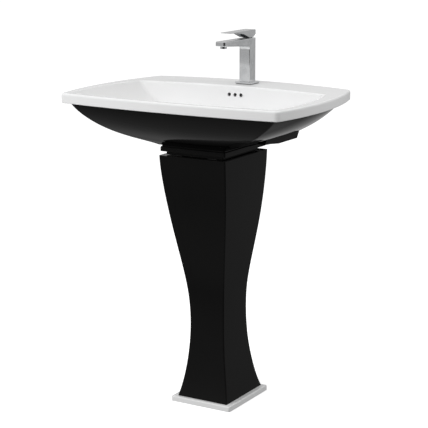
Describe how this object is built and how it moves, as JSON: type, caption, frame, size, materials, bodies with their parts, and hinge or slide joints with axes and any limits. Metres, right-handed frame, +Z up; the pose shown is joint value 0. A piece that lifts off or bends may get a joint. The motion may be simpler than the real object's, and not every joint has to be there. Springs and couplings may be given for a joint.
{
  "type": "pedestal sink",
  "caption": "Bow-sided basin on a flared square pedestal, white above and black below, with a square single-lever mixer, push-open waste and bottle trap.",
  "frame": {"origin": "centre of the foot on the floor", "axes": "+Z up, +Y towards the wall, +X to the right as seen by the user facing the wall"},
  "size_m": [0.6806, 0.5084, 0.9956],
  "materials": {
    "white_china": "gloss white glaze",
    "black_china": "gloss black glaze",
    "disc_ceramic": "lapped",
    "chrome": "polished chrome plate",
    "steel": "plain",
    "brass": "as machined",
    "rubber": "matt",
    "grey_plastic": "moulded",
    "black_plastic": "moulded",
    "white_plastic": "moulded"
  },
  "bodies": {
    "sink": {"basin_bowl": "white_china", "basin_underside": "black_china", "pedestal_column": "black_china", "pedestal_plinth": "white_china", "pedestal_pads": "rubber", "tap_base_seal": "rubber", "tap_base_plate": "chrome", "tap_body": "chrome", "tap_stud": "steel", "tap_rubber_saddle": "rubber", "tap_steel_saddle": "steel", "tap_nut": "brass", "cartridge_housing": "grey_plastic", "cartridge_seals": "rubber", "cartridge_fixed_disc": "disc_ceramic", "retaining_ring": "brass", "aerator_housing": "chrome", "aerator_insert": "black_plastic", "aerator_seal": "rubber", "waste_seal_upper": "rubber", "waste_flange": "chrome", "waste_body": "brass", "plug_guide": "brass", "waste_seal_lower": "rubber", "waste_nut": "brass", "trap_inlet_seal": "rubber", "trap_inlet_nut": "white_plastic", "trap_inlet_pipe": "white_plastic", "trap_body": "white_plastic", "trap_neck_seal": "rubber", "trap_neck_nut": "white_plastic", "trap_cup": "white_plastic", "trap_cup_seal": "rubber", "trap_outlet_nut": "white_plastic", "trap_outlet_seal": "rubber"},
    "cartridge_turn": {"cartridge_carrier": "grey_plastic", "spindle_pin": "steel"},
    "lever": {"lever_handle": "chrome", "lever_screw": "steel", "lever_cap": "grey_plastic", "cartridge_spindle": "steel"},
    "mixing_disc": {"cartridge_moving_disc": "disc_ceramic"},
    "plug": {"waste_plug": "chrome", "plug_seal": "rubber"}
  },
  "joints": [
    {"name": "lever_turn", "type": "hinge", "parent": "sink", "child": "cartridge_turn", "pos_m": [0, 0.146, 0.962], "axis": [0, 0, 1], "range_deg": [-45, 45]},
    {"name": "lever_lift", "type": "hinge", "parent": "cartridge_turn", "child": "lever", "pos_m": [0, 0.146, 0.962], "axis": [-1, 0, 0], "range_deg": [0, 18]},
    {"name": "disc_slide", "type": "slide", "parent": "cartridge_turn", "child": "mixing_disc", "axis": [0, -1, 0], "range_m": [0, 0.0046]},
    {"name": "plug_lift", "type": "slide", "parent": "sink", "child": "plug", "axis": [0, 0, 1], "range_m": [0, 0.008]}
  ],
  "couplings": [
    {"joint": "disc_slide", "follows": "lever_lift", "m_per_rad": 0.0143}
  ]
}
